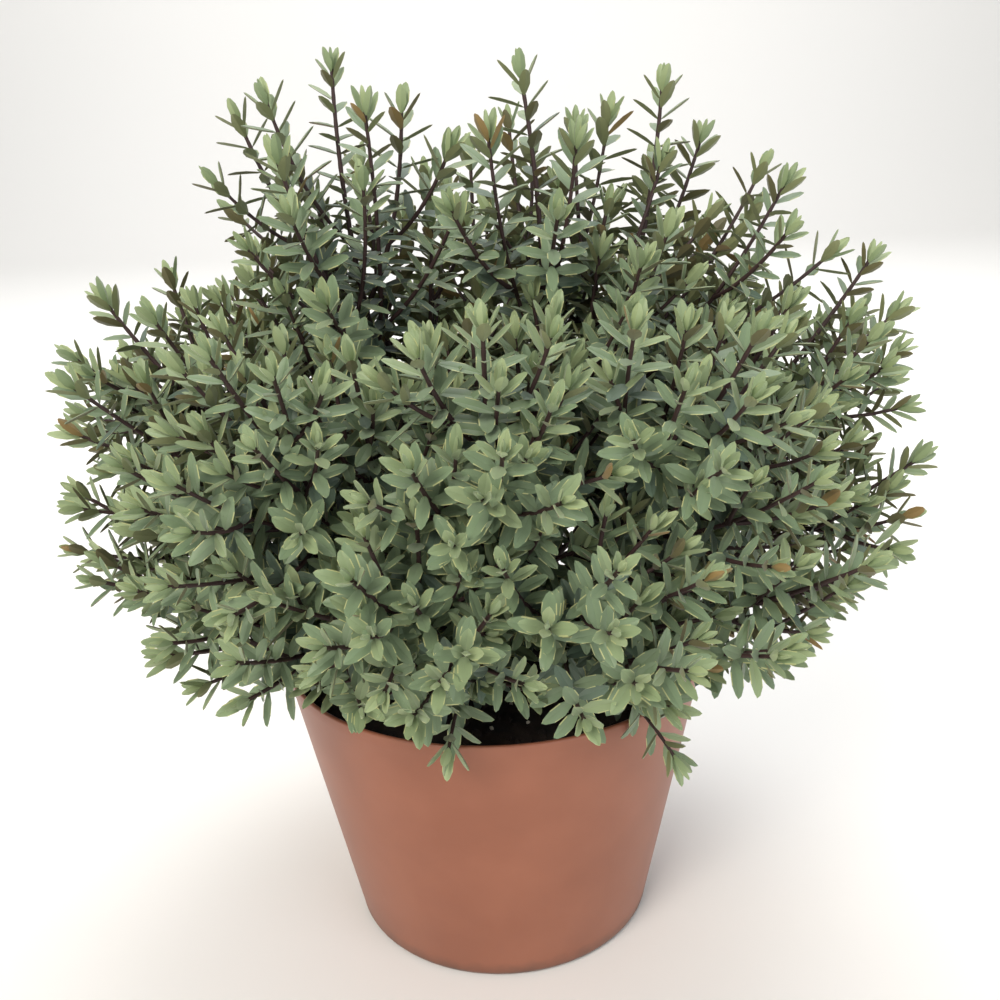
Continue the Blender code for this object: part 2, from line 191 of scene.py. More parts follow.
@dataclass(frozen=True)
class PotPlastic(Mottled):
    """Moulded polypropylene in terracotta colour, with painted shade darkening it towards the
    foot.
    """

    # Painted shade at the foot: its colour, height and strength, and the noise that wobbles its
    # edge
    soil: str = "#4A3A30"
    foot_shade_height_mm: float = 9.0
    foot_shade_share: float = 0.75
    shade_edge_mm: float = 9.0
    wander_mm: float = 8.0

    def base_colour(self, tree: bpy.types.NodeTree, place: bpy.types.NodeSocket
                    ) -> bpy.types.NodeSocket | None:
        """Darken the mottled plastic towards its foot with painted shade.

        Args:
            tree: the material's nodes.
            place: the Object coordinates.

        Returns:
            The colour of the plastic with painted shade at its foot.
        """
        plastic = Mottled.base_colour(self, tree, place)
        # Painted shade: the colour darkens towards the foot, up to a wobbling height
        split = add_node(tree, "ShaderNodeSeparateXYZ", links={"Vector": place})
        shade_edge = add_node(tree, "ShaderNodeTexNoise", {"Scale": 1.0 / (self.shade_edge_mm * MM)},
                          {"Vector": place})
        wander = add_node(tree, "ShaderNodeMath",
                          {"operation": "MULTIPLY_ADD", 1: -self.wander_mm * MM,
                           2: self.wander_mm * MM / 2.0})
        tree.links.new(shade_edge.outputs["Fac"], wander.inputs[0])
        height = add_node(tree, "ShaderNodeMath", {"operation": "ADD"})
        tree.links.new(split.outputs["Z"], height.inputs[0])
        tree.links.new(wander.outputs[0], height.inputs[1])
        fade = add_node(tree, "ShaderNodeMapRange",
                        {"From Min": 0.0, "From Max": self.foot_shade_height_mm * MM,
                         "To Min": self.foot_shade_share, "To Max": 0.0},
                        {"Value": height.outputs[0]})
        mix = add_node(tree, "ShaderNodeMixRGB", {"Color2": linear(self.soil)},
                       {"Fac": fade.outputs["Result"], "Color1": plastic})
        return mix.outputs["Color"]


# Injection-moulded polypropylene: an even satin skin with a broad soft highlight
POT = PotPlastic("terracotta_polypropylene", "#8A543E", 0.42, 0.7, 0.02,
                 other="#945C45", patch_mm=38.0)
# Moist peat compost: nearly black crumbs that take almost no light
COMPOST = Mottled("moist_peat_compost", "#120D0A", 0.95, 1.6, 0.5,
                  other="#2C2019", patch_mm=6.0)
# Expanded perlite: matt off-white grains
PERLITE = Finish("expanded_perlite", "#B9B3A4", 0.9, 0.8, 0.2)
# Woody stem: grey-brown bark, matt and unevenly ridged
BARK = Mottled("hebe_bark", "#2E2220", 0.85, 1.2, 0.35, other="#4A3A34", patch_mm=4.0)
# Young shoots: smooth dark purple-brown skin
TWIG = Finish("young_shoot_skin", "#3A2626", 0.6, 0.9, 0.05)


class Tint(Enum):
    """Colours of leaf surfaces, as the place on a shoot deals them out."""

    EDGE = "#B0B47E"
    BUD = "#98A77B"
    FRESH = "#86976F"
    FULL = "#6F8362"
    # GREY and SHADED: the older leaves' duller colour, darkened further as painted shade of the
    # crown's inside
    GREY = "#556957"
    SHADED = "#3D4E43"
    UNDER = "#7B8059"
    UNDER_OLD = "#696443"
    TAN = "#8C7448"

    def material(self) -> bpy.types.Material:
        """Leaf cuticle: a waxy bloom gives a soft, dull highlight."""
        name = "leaf_cuticle_" + self.name.lower()
        return Finish(name, self.value, 0.5, 0.8, 0.03, sheen=0.15).material()


TINTS = list(Tint)

# Parts of the crown, each with its first mass and the one past its last
CROWN_PARTS = {"left_tufts": (0, 2), "right_tufts": (2, 4), "upper_sides": (4, 6),
               "upper_front": (6, 9), "upper_back": (9, 12), "lower_sides": (12, 14),
               "lower_front": (14, 18), "lower_back": (18, 23), "low_front": (23, 26)}


def bow(start: np.ndarray, bend: np.ndarray, end: np.ndarray, count: int) -> np.ndarray:
    """Points of a quadratic curve through start and end, drawn towards bend."""
    t = np.linspace(0.0, 1.0, count)[:, None]
    return start * (1.0 - t) ** 2 + bend * (2.0 * t * (1.0 - t)) + end * t ** 2


def path_length(path: np.ndarray) -> float:
    """Length of a path of points."""
    return float(np.linalg.norm(path[1:] - path[:-1], axis=1).sum())


def walk(path: np.ndarray, distance: float) -> tuple[np.ndarray, np.ndarray]:
    """Find a place along a path.

    Args:
        path: the path's points.
        distance: how far along it, in metres.

    Returns:
        The point and the unit direction there.
    """
    runs = path[1:] - path[:-1]
    steps = np.linalg.norm(runs, axis=1)
    ends = np.cumsum(steps)
    i = min(int(np.searchsorted(ends, distance)), len(steps) - 1)
    direction = runs[i] / steps[i]
    return path[i + 1] + direction * (distance - ends[i]), direction


def stretch(path: np.ndarray, begin: float, end: float, count: int) -> np.ndarray:
    """Evenly spaced points of a path between two distances along it."""
    return np.array([walk(path, d)[0] for d in np.linspace(begin, end, count)])


def unit(vector: np.ndarray) -> np.ndarray:
    """The vector at a length of one."""
    return vector / np.linalg.norm(vector)


def side_of(direction: np.ndarray, turn: float) -> np.ndarray:
    """Point square to a direction.

    Args:
        direction: unit direction of a stem.
        turn: angle about it, from the level.

    Returns:
        The unit vector.
    """
    level = np.cross(direction, UP)
    if np.linalg.norm(level) < NEARLY_UPRIGHT:
        level = np.cross((1.0, 0.0, 0.0), direction)
    level = unit(level)
    return level * math.cos(turn) + np.cross(direction, level) * math.sin(turn)


def deselect() -> None:
    """Deselect everything, as loading the frame leaves its nodes selected."""
    bpy.ops.object.select_all(action="DESELECT")


class Pile:
    """Triangles gathered for one joined mesh."""

    def __init__(self) -> None:
        """Start empty."""
        self.corners: list[np.ndarray] = []
        self.faces: list[np.ndarray] = []
        self.slots: list[np.ndarray] = []
        self.count = 0

    def add(self, corners: np.ndarray, faces: np.ndarray, slots: np.ndarray) -> None:
        """Add a mesh.

        Args:
            corners: its vertices, one row each.
            faces: its triangles, by vertex number.
            slots: its triangles' material numbers.
        """
        self.corners.append(corners)
        self.faces.append(faces + self.count)
        self.slots.append(slots)
        self.count += len(corners)

    def piece(self, name: str, materials: list[bpy.types.Material], crease: float
              ) -> bpy.types.Object:
        """Make the joined mesh.

        Args:
            name: the piece's name.
            materials: its materials, in the order of the slots.
            crease: angle above which an edge is sharp.

        Returns:
            The object, with its place in its mesh.
        """
        corners = np.concatenate(self.corners)
        faces = np.concatenate(self.faces)
        mesh = bpy.data.meshes.new(name)
        mesh.vertices.add(len(corners))
        mesh.vertices.foreach_set("co", corners.astype(np.float32).ravel())
        mesh.loops.add(3 * len(faces))
        mesh.loops.foreach_set("vertex_index", faces.astype(np.int32).ravel())
        mesh.polygons.add(len(faces))
        mesh.polygons.foreach_set("loop_start", np.arange(0, 3 * len(faces), 3))
        mesh.polygons.foreach_set("material_index", np.concatenate(self.slots).astype(np.int32))
        for material in materials:
            mesh.materials.append(material)
        mesh.update(calc_edges=True)
        mesh.shade_smooth()
        mesh.set_sharp_from_angle(angle=crease)
        item = bpy.data.objects.new(name, mesh)
        bpy.context.scene.collection.objects.link(item)
        LOG.info("%s: %d triangles", name, len(faces))
        return item


def tube(path: np.ndarray, radii: np.ndarray, sides: int) -> tuple[np.ndarray, np.ndarray]:
    """Sweep a closed tube along a path.

    Args:
        path: centre of each ring.
        radii: radius of each ring, or of each ring at each side.
        sides: number of sides.

    Returns:
        The vertices and the triangles, capped at both ends.
    """
    ring_radii = np.broadcast_to(np.atleast_2d(radii.T).T, (len(path), sides))
    directions = np.gradient(path, axis=0)
    directions /= np.linalg.norm(directions, axis=1)[:, None]
    across = side_of(directions[0], 0.0)
    angles = np.linspace(0.0, 2.0 * math.pi, sides, endpoint=False)
    rings = []
    for centre, direction, radius in zip(path, directions, ring_radii):
        across = unit(across - direction * np.dot(across, direction))
        other = np.cross(direction, across)
        spokes = np.outer(np.cos(angles), across) + np.outer(np.sin(angles), other)
        rings.append(centre + spokes * radius[:, None])
    corners = np.concatenate(rings + [path[:1], path[-1:]])
    faces = []
    last = (len(path) - 1) * sides
    for i in range(sides):
        j = (i + 1) % sides
        faces.append((len(corners) - 2, j, i))
        faces.append((len(corners) - 1, last + i, last + j))
        for k in range(0, last, sides):
            faces.append((k + i, k + j, k + sides + j))
            faces.append((k + i, k + sides + j, k + sides + i))
    return corners, np.array(faces)


def turned_shell(name: str, outline: list[tuple[float, float]], segments: int
                 ) -> bpy.types.Object:
    """Shape a turned shell: a circle extruded and scaled along an outline, its holes filled.

    Args:
        name: the object's name.
        outline: (radius, height) of every ring, up the outer side.
        segments: number of segments round.

    Returns:
        The closed object, in object mode.
    """
    deselect()
    radius, height = outline[0]
    bpy.ops.mesh.primitive_circle_add(vertices=segments, radius=radius,
                                      location=(0.0, 0.0, height))
    item = bpy.context.active_object
    item.name = name
    bpy.ops.object.mode_set(mode="EDIT")
    bpy.ops.mesh.select_all(action="SELECT")
    for (radius, height), (next_radius, next_height) in zip(outline, outline[1:]):
        bpy.ops.mesh.extrude_region_move(
            TRANSFORM_OT_translate={"value": (0.0, 0.0, next_height - height)})
        share = next_radius / radius
        bpy.ops.transform.resize(value=(share, share, 1.0), center_override=(0.0, 0.0, 0.0),
                                 constraint_axis=(True, True, False))
    bpy.ops.mesh.select_all(action="SELECT")
    bpy.ops.mesh.fill_holes(sides=0)
    bpy.ops.mesh.select_all(action="SELECT")
    bpy.ops.mesh.normals_make_consistent(inside=False)
    bpy.ops.object.mode_set(mode="OBJECT")
    bpy.ops.object.transform_apply(location=True, rotation=True, scale=True)
    return item


def arc(centre: tuple[float, float], radius: float, start: float, end: float, count: int
        ) -> list[tuple[float, float]]:
    """Points of an arc in the outline's plane, with angles in degrees from +X."""
    angles = np.radians(np.linspace(start, end, count))
    return [(centre[0] + radius * math.cos(a), centre[1] + radius * math.sin(a)) for a in angles]


@dataclass
class Pot:
    """Thin-walled tapered plastic pot."""

    height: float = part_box("pot")[1][2]
    rim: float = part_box("pot")[1][0]
    base: float = 69.0 * MM
    wall: float = 2.0 * MM
    floor: float = 2.6 * MM
    rounding: float = 4.0 * MM
    segments: int = 144
    arc_points: int = 9
    wall_rings: int = 7
    crease: float = math.radians(35.0)
    sole: float = 60.9 * MM
    hole_radius: float = 4.5 * MM
    hole_circle: float = 42.0 * MM
    holes: int = 5

    def wall_radius(self, height: float) -> float:
        """Outer radius of the straight wall at a height."""
        return self.base + (self.rim - self.base) * height / self.height

    def shell(self) -> bpy.types.Object:
        """Shape the pot's wall, lip, foot and floor.

        Returns:
            The pot without its drain holes.
        """
        foot_centre = (self.wall_radius(self.rounding) - self.rounding, self.rounding)
        lip = self.wall / 2.0
        heights = np.linspace(0.1, 0.95, self.wall_rings) * self.height
        outline = [(self.sole, 0.0)]
        outline += arc(foot_centre, self.rounding, -90.0, 0.0, self.arc_points)
        outline += [(self.wall_radius(h), h) for h in heights]
        outline += arc((self.rim - lip, self.height - lip), lip, 0.0, 180.0, self.arc_points)
        inner_foot = self.floor + self.rounding / 2.0
        outline.append((self.wall_radius(inner_foot) - self.wall, inner_foot))
        outline.append((self.wall_radius(self.floor) - 2.0 * self.wall, self.floor))
        return turned_shell("hebe_pot", outline, self.segments)

    def drill(self, pot: bpy.types.Object) -> None:
        """Cut the ring of drain holes through the floor.

        Args:
            pot: the shell.
        """
        for i in range(self.holes):
            angle = 2.0 * math.pi * i / self.holes
            deselect()
            bpy.ops.mesh.primitive_cylinder_add(
                vertices=32, radius=self.hole_radius, depth=4.0 * self.floor,
                location=(self.hole_circle * math.cos(angle),
                          self.hole_circle * math.sin(angle), 0.0))
            drill = bpy.context.active_object
            cut = pot.modifiers.new("Hole", "BOOLEAN")
            cut.object = drill
            bpy.context.view_layer.objects.active = pot
            bpy.ops.object.modifier_apply(modifier=cut.name)
            bpy.data.objects.remove(drill, do_unlink=True)

    def build(self) -> bpy.types.Object:
        """Make and dress the pot.

        Returns:
            The finished piece.
        """
        pot = self.shell()
        self.drill(pot)
        pot.data.shade_smooth()
        pot.data.set_sharp_from_angle(angle=self.crease)
        pot.data.materials.append(POT.material())
        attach(pot, "root")
        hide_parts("pot")
        return pot


@dataclass
class Compost:
    """Compost with crumbs and a few grains of perlite on it."""

    pot: Pot
    top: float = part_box("potting_soil")[1][2]
    segments: int = 120
    rings: int = 22
    wall_gap: float = 0.4 * MM
    side_gap: float = 0.5 * MM
    shoulder: float = 3.0 * MM
    middle: float = 3.0 * MM
    edge_drop: float = 2.0 * MM
    swell: float = 1.6 * MM
    crumbs: int = 900
    crumb_size: tuple[float, float] = (0.7 * MM, 2.6 * MM)
    grains: int = 70
    grain_size: tuple[float, float] = (0.6 * MM, 1.3 * MM)
    bare_edge: float = 2.5 * MM
    crumb_stretch: tuple[float, float] = (0.6, 1.2)
    crumb_lift: float = 0.25

    def height_at(self, x: np.ndarray, y: np.ndarray) -> np.ndarray:
        """Height of the lumpy surface.

        Args:
            x: places along X.
            y: places along Y.

        Returns:
            Heights, lower towards the wall.
        """
        far = np.hypot(x, y) / self.edge()
        # Waves about 20, 8 and 4 mm long
        lumps = (np.sin(x * 310.0 + 1.3) * np.cos(y * 270.0) + np.sin(x * 640.0 + y * 520.0)
                 + 0.7 * np.cos(x * 1150.0 - y * 930.0))
        return self.top - self.swell + 0.3 * self.swell * lumps - self.edge_drop * far ** 6

    def edge(self) -> float:
        """Radius at which the compost meets the wall."""
        return self.pot.wall_radius(self.top) - self.pot.wall - self.wall_gap

    def build(self) -> bpy.types.Object:
        """Make and dress the compost.

        Returns:
            The finished piece.
        """
        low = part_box("potting_soil")[0][2]
        side = self.pot.wall + self.side_gap
        corner = self.pot.rounding
        outline = [(self.pot.wall_radius(low) - side - corner, low),
                   (self.pot.wall_radius(low + corner) - side, low + corner),
                   (self.edge(), self.top - self.shoulder)]
        outline += [(r, self.top) for r in np.linspace(self.edge(), self.middle, self.rings)]
        body = turned_shell("compost", outline, self.segments)
        places = np.empty(3 * len(body.data.vertices), dtype=np.float32)
        body.data.vertices.foreach_get("co", places)
        places = places.reshape(-1, 3)
        upper = places[:, 2] > self.top - self.shoulder / 2.0
        places[upper, 2] = self.height_at(places[upper, 0], places[upper, 1])
        body.data.vertices.foreach_set("co", places.ravel())
        body.data.materials.append(COMPOST.material())
        body.data.shade_smooth()
        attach(body, "root")
        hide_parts("potting_soil")
        return body

    def scatter(self, name: str, finish: Finish, number: int, sizes: tuple[float, float],
                seed: int) -> bpy.types.Object:
        """Strew crumbs over the compost as one joined mesh.

        Args:
            name: the piece's name.
            finish: what the crumbs are made of.
            number: how many.
            sizes: smallest and largest radius.
            seed: starts the random draws.

        Returns:
            The finished piece.
        """
        deselect()
        bpy.ops.mesh.primitive_ico_sphere_add(subdivisions=1, radius=1.0)
        crumb = bpy.context.active_object
        corners = np.array([v.co for v in crumb.data.vertices])
        faces = np.array([p.vertices for p in crumb.data.polygons])
        bpy.data.objects.remove(crumb, do_unlink=True)
        draw = np.random.default_rng(seed)
        pile = Pile()
        for _ in range(number):
            away = (self.edge() - self.bare_edge) * math.sqrt(draw.random())
            angle = draw.uniform(0.0, 2.0 * math.pi)
            size = sizes[0] + (sizes[1] - sizes[0]) * draw.random() ** 3
            x, y = away * math.cos(angle), away * math.sin(angle)
            shape = corners * draw.uniform(*self.crumb_stretch, corners.shape) * size
            z = float(self.height_at(np.array(x), np.array(y))) + self.crumb_lift * size
            pile.add(shape + (x, y, z), faces, np.zeros(len(faces)))
        piece = pile.piece(name, [finish.material()], math.radians(30.0))
        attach(piece, "root")
        return piece


class LeafPattern:
    """One leaf of unit size, closed and slightly keeled, that every leaf copies.

    Its X runs from root to point, its half width is one and its Z is the upper face.
    """

    stations = ((1.0, 0.0), (0.93, 0.45), (0.71, 0.94), (0.4, 1.0), (0.13, 0.48), (0.0, 0.0))
    section = ((1.0, 0.9), (0.84, 1.05), (0.0, 0.0), (-0.84, 1.05), (-1.0, 0.9), (0.0, -0.9))
    flattening = 1.5

    def __init__(self) -> None:
        """Shape the leaf from a sphere with a ring of corners at each station."""
        around = len(self.section)
        rings = len(self.stations) - 1
        deselect()
        bpy.ops.mesh.primitive_uv_sphere_add(segments=around, ring_count=rings, radius=1.0)
        leaf = bpy.context.active_object
        bpy.ops.object.mode_set(mode="EDIT")
        bpy.ops.mesh.select_all(action="SELECT")
        bpy.ops.mesh.quads_convert_to_tris()
        bpy.ops.object.mode_set(mode="OBJECT")
        corners = []
        for vertex in leaf.data.vertices:
            k = round(math.acos(max(-1.0, min(1.0, vertex.co.z))) * rings / math.pi)
            j = round(math.atan2(vertex.co.y, vertex.co.x) * around / (2.0 * math.pi)) % around
            along, half = self.stations[k]
            across, rise = self.section[j]
            flat = min(1.0, self.flattening * half)
            corners.append((along, across * half, rise * flat))
        self.corners = np.array(corners)
        self.faces = np.array([p.vertices for p in leaf.data.polygons])
        bpy.data.objects.remove(leaf, do_unlink=True)
        # Upper triangles whose corners all stand well out from the midrib make the pale margin.
        # It is open on the band next to each end band, where the width changes about twofold.
        spots = self.corners[self.faces]
        normals = np.cross(spots[:, 1] - spots[:, 0], spots[:, 2] - spots[:, 0])
        halves = np.abs(spots[:, :, 1]).max(axis=1)
        at_ends = (spots[:, :, 0] < 0.01) | (spots[:, :, 0] > 0.99)
        middle = np.where(at_ends, 1.0, np.abs(spots[:, :, 1])).min(axis=1)
        self.upper = normals[:, 2] > 0.0
        self.edge = self.upper & (middle > 0.5 * halves)

    def slots(self, face: np.ndarray, back: np.ndarray) -> np.ndarray:
        """Deal out colours to the triangles of many leaves.

        Args:
            face: tint number of each leaf's upper face.
            back: tint number of each leaf's underside.

        Returns:
            A tint number for every triangle of every leaf.
        """
        table = np.where(self.upper[None], face[:, None], back[:, None])
        return np.where(self.edge[None], TINTS.index(Tint.EDGE), table)


@dataclass
class Shoot:
    """A leafy shoot of a mass."""

    mass: int
    path: np.ndarray
    radii: tuple[float, float]
    leafy: float
    vigour: float


@dataclass
class Shrub:
    """The hebe: stem, boughs, twigs and leaves, grown by the rule of its solids."""

    pot: Pot
    tips: tuple[tuple[float, float, float], ...] = (
        (172.0, 56.0, 388.0), (340.0, 18.0, 382.0), (4.0, 76.0, 376.0), (92.0, 76.0, 352.0),
        (183.0, 158.0, 300.0), (357.0, 164.0, 306.0), (228.0, 140.0, 294.0),
        (270.0, 118.0, 302.0), (312.0, 140.0, 294.0), (138.0, 150.0, 308.0),
        (90.0, 150.0, 298.0), (44.0, 150.0, 310.0), (191.0, 176.0, 224.0),
        (350.0, 186.0, 224.0), (218.0, 168.0, 208.0), (252.0, 152.0, 226.0),
        (286.0, 152.0, 226.0), (322.0, 176.0, 208.0), (160.0, 180.0, 212.0),
        (125.0, 178.0, 208.0), (90.0, 180.0, 210.0), (55.0, 180.0, 210.0),
        (20.0, 184.0, 214.0), (236.0, 130.0, 168.0), (270.0, 124.0, 172.0),
        (303.0, 130.0, 168.0))
    # Shoots that hang over the rim: the mass they belong to, direction, distance and height
    hanging: tuple[tuple[int, float, float, float], ...] = (
        (24, 260.0, 108.0, 137.0), (25, 303.0, 121.0, 127.0), (25, 322.0, 120.0, 152.0),
        (12, 196.0, 138.0, 158.0), (13, 344.0, 124.0, 160.0), (14, 212.0, 136.0, 150.0),
        (18, 160.0, 128.0, 152.0), (20, 92.0, 124.0, 150.0), (21, 55.0, 126.0, 152.0),
        (22, 18.0, 130.0, 156.0), (19, 126.0, 126.0, 150.0))
    # Where a hanging shoot turns down: share of its distance, height above the rim
    over_rim: tuple[float, float] = (0.7, 24.0 * MM)
    head: np.ndarray = field(default_factory=lambda: np.array((0.0, 0.0, 144.0 * MM)))
    head_radius: float = 12.0 * MM
    gap: float = 0.3 * MM
    limb_points: int = 33
    stem_points: int = 24
    side_points: int = 12
    hanging_points: int = 20
    sweep: float = math.radians(15.0)
    bough_share: float = 0.36
    bough_radii: tuple[float, float] = (1.9 * MM, 1.5 * MM)
    shoot_radii: tuple[float, float] = (1.15 * MM, 0.75 * MM)
    fine_radii: tuple[float, float] = (0.95 * MM, 0.7 * MM)
    pair_places: tuple[float, ...] = (0.06, 0.34)
    fine_places: tuple[float, ...] = (0.2, 0.52)
    side_places: tuple[float, ...] = (0.14, 0.36, 0.58)
    bough_places: tuple[float, ...] = (0.16, 0.28)
    fork_angle: float = math.radians(42.0)
    fork_share: float = 0.4
    settle: tuple[float, float] = (math.radians(13.0), math.radians(30.0))
    lift: float = 0.3
    reach_share: tuple[float, float] = (0.8, 1.0)
    bough_reach_share: tuple[float, float] = (0.35, 0.75)
    fine_reach_share: tuple[float, float] = (0.7, 1.0)
    vigour: tuple[float, float] = (0.86, 1.08)
    shortest: float = 25.0 * MM
    trim: float = 3.0 * MM
    rim_width: float = 4.0 * MM
    rim_clearance: float = 1.0 * MM
    compost_clearance: float = 5.0 * MM
    tip_spacing: tuple[float, float] = (14.0 * MM, 25.0 * MM)
    tuft_heights: tuple[float, float] = (265.0 * MM, 350.0 * MM)
    lowest_tip: float = 152.0 * MM
    flare_radius: float = 130.0 * MM
    flare_slope: float = 1.1
    bud: float = 10.0 * MM
    internode: float = 5.2 * MM
    leaf_length: tuple[float, float] = (11.5 * MM, 16.0 * MM)
    leaf_half_width: float = 0.175
    leaf_thickness: float = 0.55 * MM
    leaf_foot: float = 0.4 * MM
    length_spread: tuple[float, float] = (0.86, 1.06)
    old_shrinks: float = 0.12
    bare_foot: float = 3.0 * MM
    opening_run: float = 10.0 * MM
    growth_run: float = 7.0 * MM
    bud_opening: float = math.radians(5.0)
    bud_curl: float = -0.12
    young_curl: float = -0.10
    old_curl: tuple[float, float] = (-0.02, 0.16)
    lean_spread: float = 7.0
    sway_spread: float = 9.0
    kept_pairs: int = 3
    lost_share: tuple[float, float] = (0.04, 0.35)
    crowding: float = 0.3
    crowded_pairs: float = 4.0
    leaf_crease: float = math.radians(38.0)
    pairs_a_tint: float = 2.2
    rosette_tints: float = 1.6
    old_tints: float = 2.4
    tint_spread: float = 0.55
    fresh_backs: float = 0.7
    dulled_backs: float = 0.3
    tan_backs: float = 0.04
    twig_sides: int = 6
    twig_swelling: tuple[float, float] = (1.08, 0.94)
    root_flare: float = 15.0 * MM
    flare_share: float = 0.09
    neck_share: float = 0.7
    head_inset: float = 0.6 * MM
    least_radius: float = 1.0 * MM
    foot_radius: float = 14.6 * MM
    neck_radius: float = 9.0 * MM
    trunk_rings: int = 26
    trunk_sides: int = 20
    trunk_relief: float = 0.05
    bough_sides: int = 10
    bough_ring: float = 2.2 * MM
    bough_relief: float = 0.16
    opening: tuple[float, float] = (math.radians(20.0), math.radians(72.0))
    leafy_length: tuple[float, float] = (78.0 * MM, 110.0 * MM)
    seed: int = 19
    shoots: list[Shoot] = field(default_factory=list)

    def limb(self, tip: tuple[float, float, float]) -> np.ndarray:
        """Bow a limb from the stem's head to a tip.

        Args:
            tip: direction in degrees, distance and height in millimetres.

        Returns:
            The limb's points.
        """
        azimuth = math.radians(tip[0])
        away = np.array((math.cos(azimuth), math.sin(azimuth), 0.0))
        end = away * tip[1] * MM + UP * tip[2] * MM
        span = float(np.linalg.norm(end - self.head))
        lean = math.acos((end - self.head)[2] / span) + self.sweep
        leave = away * math.sin(lean) + UP * math.cos(lean)
        start = self.head + leave * (self.head_radius + self.gap)
        bend = self.head + leave * (0.5 * span / math.cos(self.sweep))
        return bow(start, bend, end, self.limb_points)

    def side_shoot(self, stem: np.ndarray, place: float, turn: float, reach: float
                   ) -> np.ndarray:
        """Fork a shoot off a stem, which then settles beside it and lifts a little.

        Args:
            stem: the stem's points.
            place: share of the stem's length at which it forks.
            turn: direction round the stem.
            reach: length of the shoot.

        Returns:
            The shoot's points.
        """
        start, along = walk(stem, place * path_length(stem))
        side = side_of(along, turn)
        leave = along * math.cos(self.fork_angle) + side * math.sin(self.fork_angle)
        lean = math.acos(max(-1.0, min(1.0, along[2])))
        share = min(2.0 * lean / math.pi, 1.0)
        angle = self.settle[0] + (self.settle[1] - self.settle[0]) * share
        settle = unit(along * math.cos(angle) + side * math.sin(angle) + UP * self.lift)
        bend = start + leave * (self.fork_share * reach)
        end = bend + settle * ((1.0 - self.fork_share) * reach)
        return bow(start, bend, end, self.side_points)

    def has_room(self, points: np.ndarray) -> bool:
        """Test points against the solids' box, the pot and the compost.

        Args:
            points: the points, one row each.

        Returns:
            Whether all are inside the box and clear of pot and compost.
        """
        low, high = np.array(CAD_BOX[0]), np.array(CAD_BOX[1])
        if (points < low).any() or (points > high).any():
            return False
        for x, y, z in points:
            away = math.hypot(x, y)
            if away < self.pot.rim - self.rim_width:
                if z < self.pot.height - self.compost_clearance:
                    return False
            elif z < self.pot.height + self.rim_clearance:
                if away < self.pot.wall_radius(z) + self.rim_clearance:
                    return False
        return True

    def in_crown(self, point: np.ndarray) -> bool:
        """Whether a point is within the crown, which narrows towards the pot."""
        flare = self.flare_radius + self.flare_slope * (point[2] - self.lowest_tip)
        return point[2] > self.lowest_tip and math.hypot(point[0], point[1]) < flare

    def trimmed(self, path: np.ndarray, hangs: bool) -> np.ndarray | None:
        """Cut a path back until the leaves at its tip have room.

        Args:
            path: the shoot's points.
            hangs: whether it may hang below the crown.

        Returns:
            The path, or None where too little of it would be left.
        """
        length = path_length(path)
        while length > self.shortest:
            shorter = stretch(path, 0.0, length, len(path))
            tip = shorter[-1] + unit(shorter[-1] - shorter[-2]) * self.bud
            room = self.has_room(np.concatenate((shorter[1:], tip[None])))
            if room and (hangs or self.in_crown(shorter[-1])):
                return shorter
            length -= self.trim
        return None

    def keep(self, mass: int, path: np.ndarray, radii: tuple[float, float],
             chance: random.Random, leafy: float, hangs: bool = False) -> bool:
        """Keep a shoot that has room and whose tip stands clear of the others.

        Args:
            mass: number of its mass.
            path: its points.
            radii: its radii at foot and tip.
            chance: random draws of its mass.
            leafy: length below its tip that bears leaves.
            hangs: whether it may hang below the crown.

        Returns:
            Whether it was kept.
        """
        path = self.trimmed(path, hangs)
        if path is None:
            return False
        tip = path[-1]
        low, high = self.tuft_heights
        spacing = np.interp((tip[2] - low) / (high - low), (0.0, 1.0), self.tip_spacing)
        ends = np.array([shoot.path[-1] for shoot in self.shoots])
        if self.shoots and np.linalg.norm(ends - tip, axis=1).min() < spacing:
            return False
        self.shoots.append(Shoot(mass, path, radii, leafy, chance.uniform(*self.vigour)))
        return True

    def hang(self) -> None:
        """Grow the shoots that hang over the pot's rim."""
        for mass, azimuth, distance, height in self.hanging:
            chance = random.Random(self.seed * 1000 + int(azimuth))
            angle = math.radians(azimuth)
            away = np.array((math.cos(angle), math.sin(angle), 0.0))
            start = self.head + away * self.head_radius
            bend = away * (self.over_rim[0] * distance * MM)
            bend = bend + UP * (self.pot.height + self.over_rim[1])
            end = away * distance * MM + UP * height * MM
            path = bow(start, bend, end, self.hanging_points)
            self.keep(mass, path, self.fine_radii, chance, self.leafy_length[0], hangs=True)

    def fork(self, mass: int, limb: np.ndarray, stem: np.ndarray, chance: random.Random
             ) -> list[np.ndarray]:
        """Keep a mass's stem and fork side shoots off its limb in crossed pairs.

        Args:
            mass: number of the limb's mass.
            limb: the limb's points.
            stem: the points of its stretch within the mass.
            chance: random draws of the mass.

        Returns:
            The points of the side shoots that were kept.
        """
        # The last of eight draws is used, which keeps the later draws in their order
        first_turn = [chance.uniform(0.0, math.pi) for _ in range(8)][-1]
        self.keep(mass, stem, (self.bough_radii[1], self.shoot_radii[1]), chance,
                  self.leafy_length[1])
        sides = []
        places = [(p, n, self.shoot_radii) for n, p in enumerate(self.pair_places)]
        places += [(p, n + 0.5, self.fine_radii) for n, p in enumerate(self.fine_places)]
        for place, number, radii in places:
            for half in (0.0, math.pi):
                turn = first_turn + half + 0.5 * math.pi * number
                share = (1.0 - place) * chance.uniform(*self.reach_share)
                path = self.side_shoot(stem, place, turn, share * path_length(stem))
                leafy = chance.uniform(*self.leafy_length)
                if self.keep(mass, path, radii, chance, leafy):
                    sides.append(path)
        for place in self.bough_places:
            turn = chance.uniform(0.0, math.pi)
            for half in (0.0, math.pi):
                share = (1.0 - place) * chance.uniform(*self.bough_reach_share)
                path = self.side_shoot(limb, place, turn + half, share * path_length(limb))
                if self.keep(mass, path, self.fine_radii, chance, self.leafy_length[0]):
                    sides.append(path)
        return sides

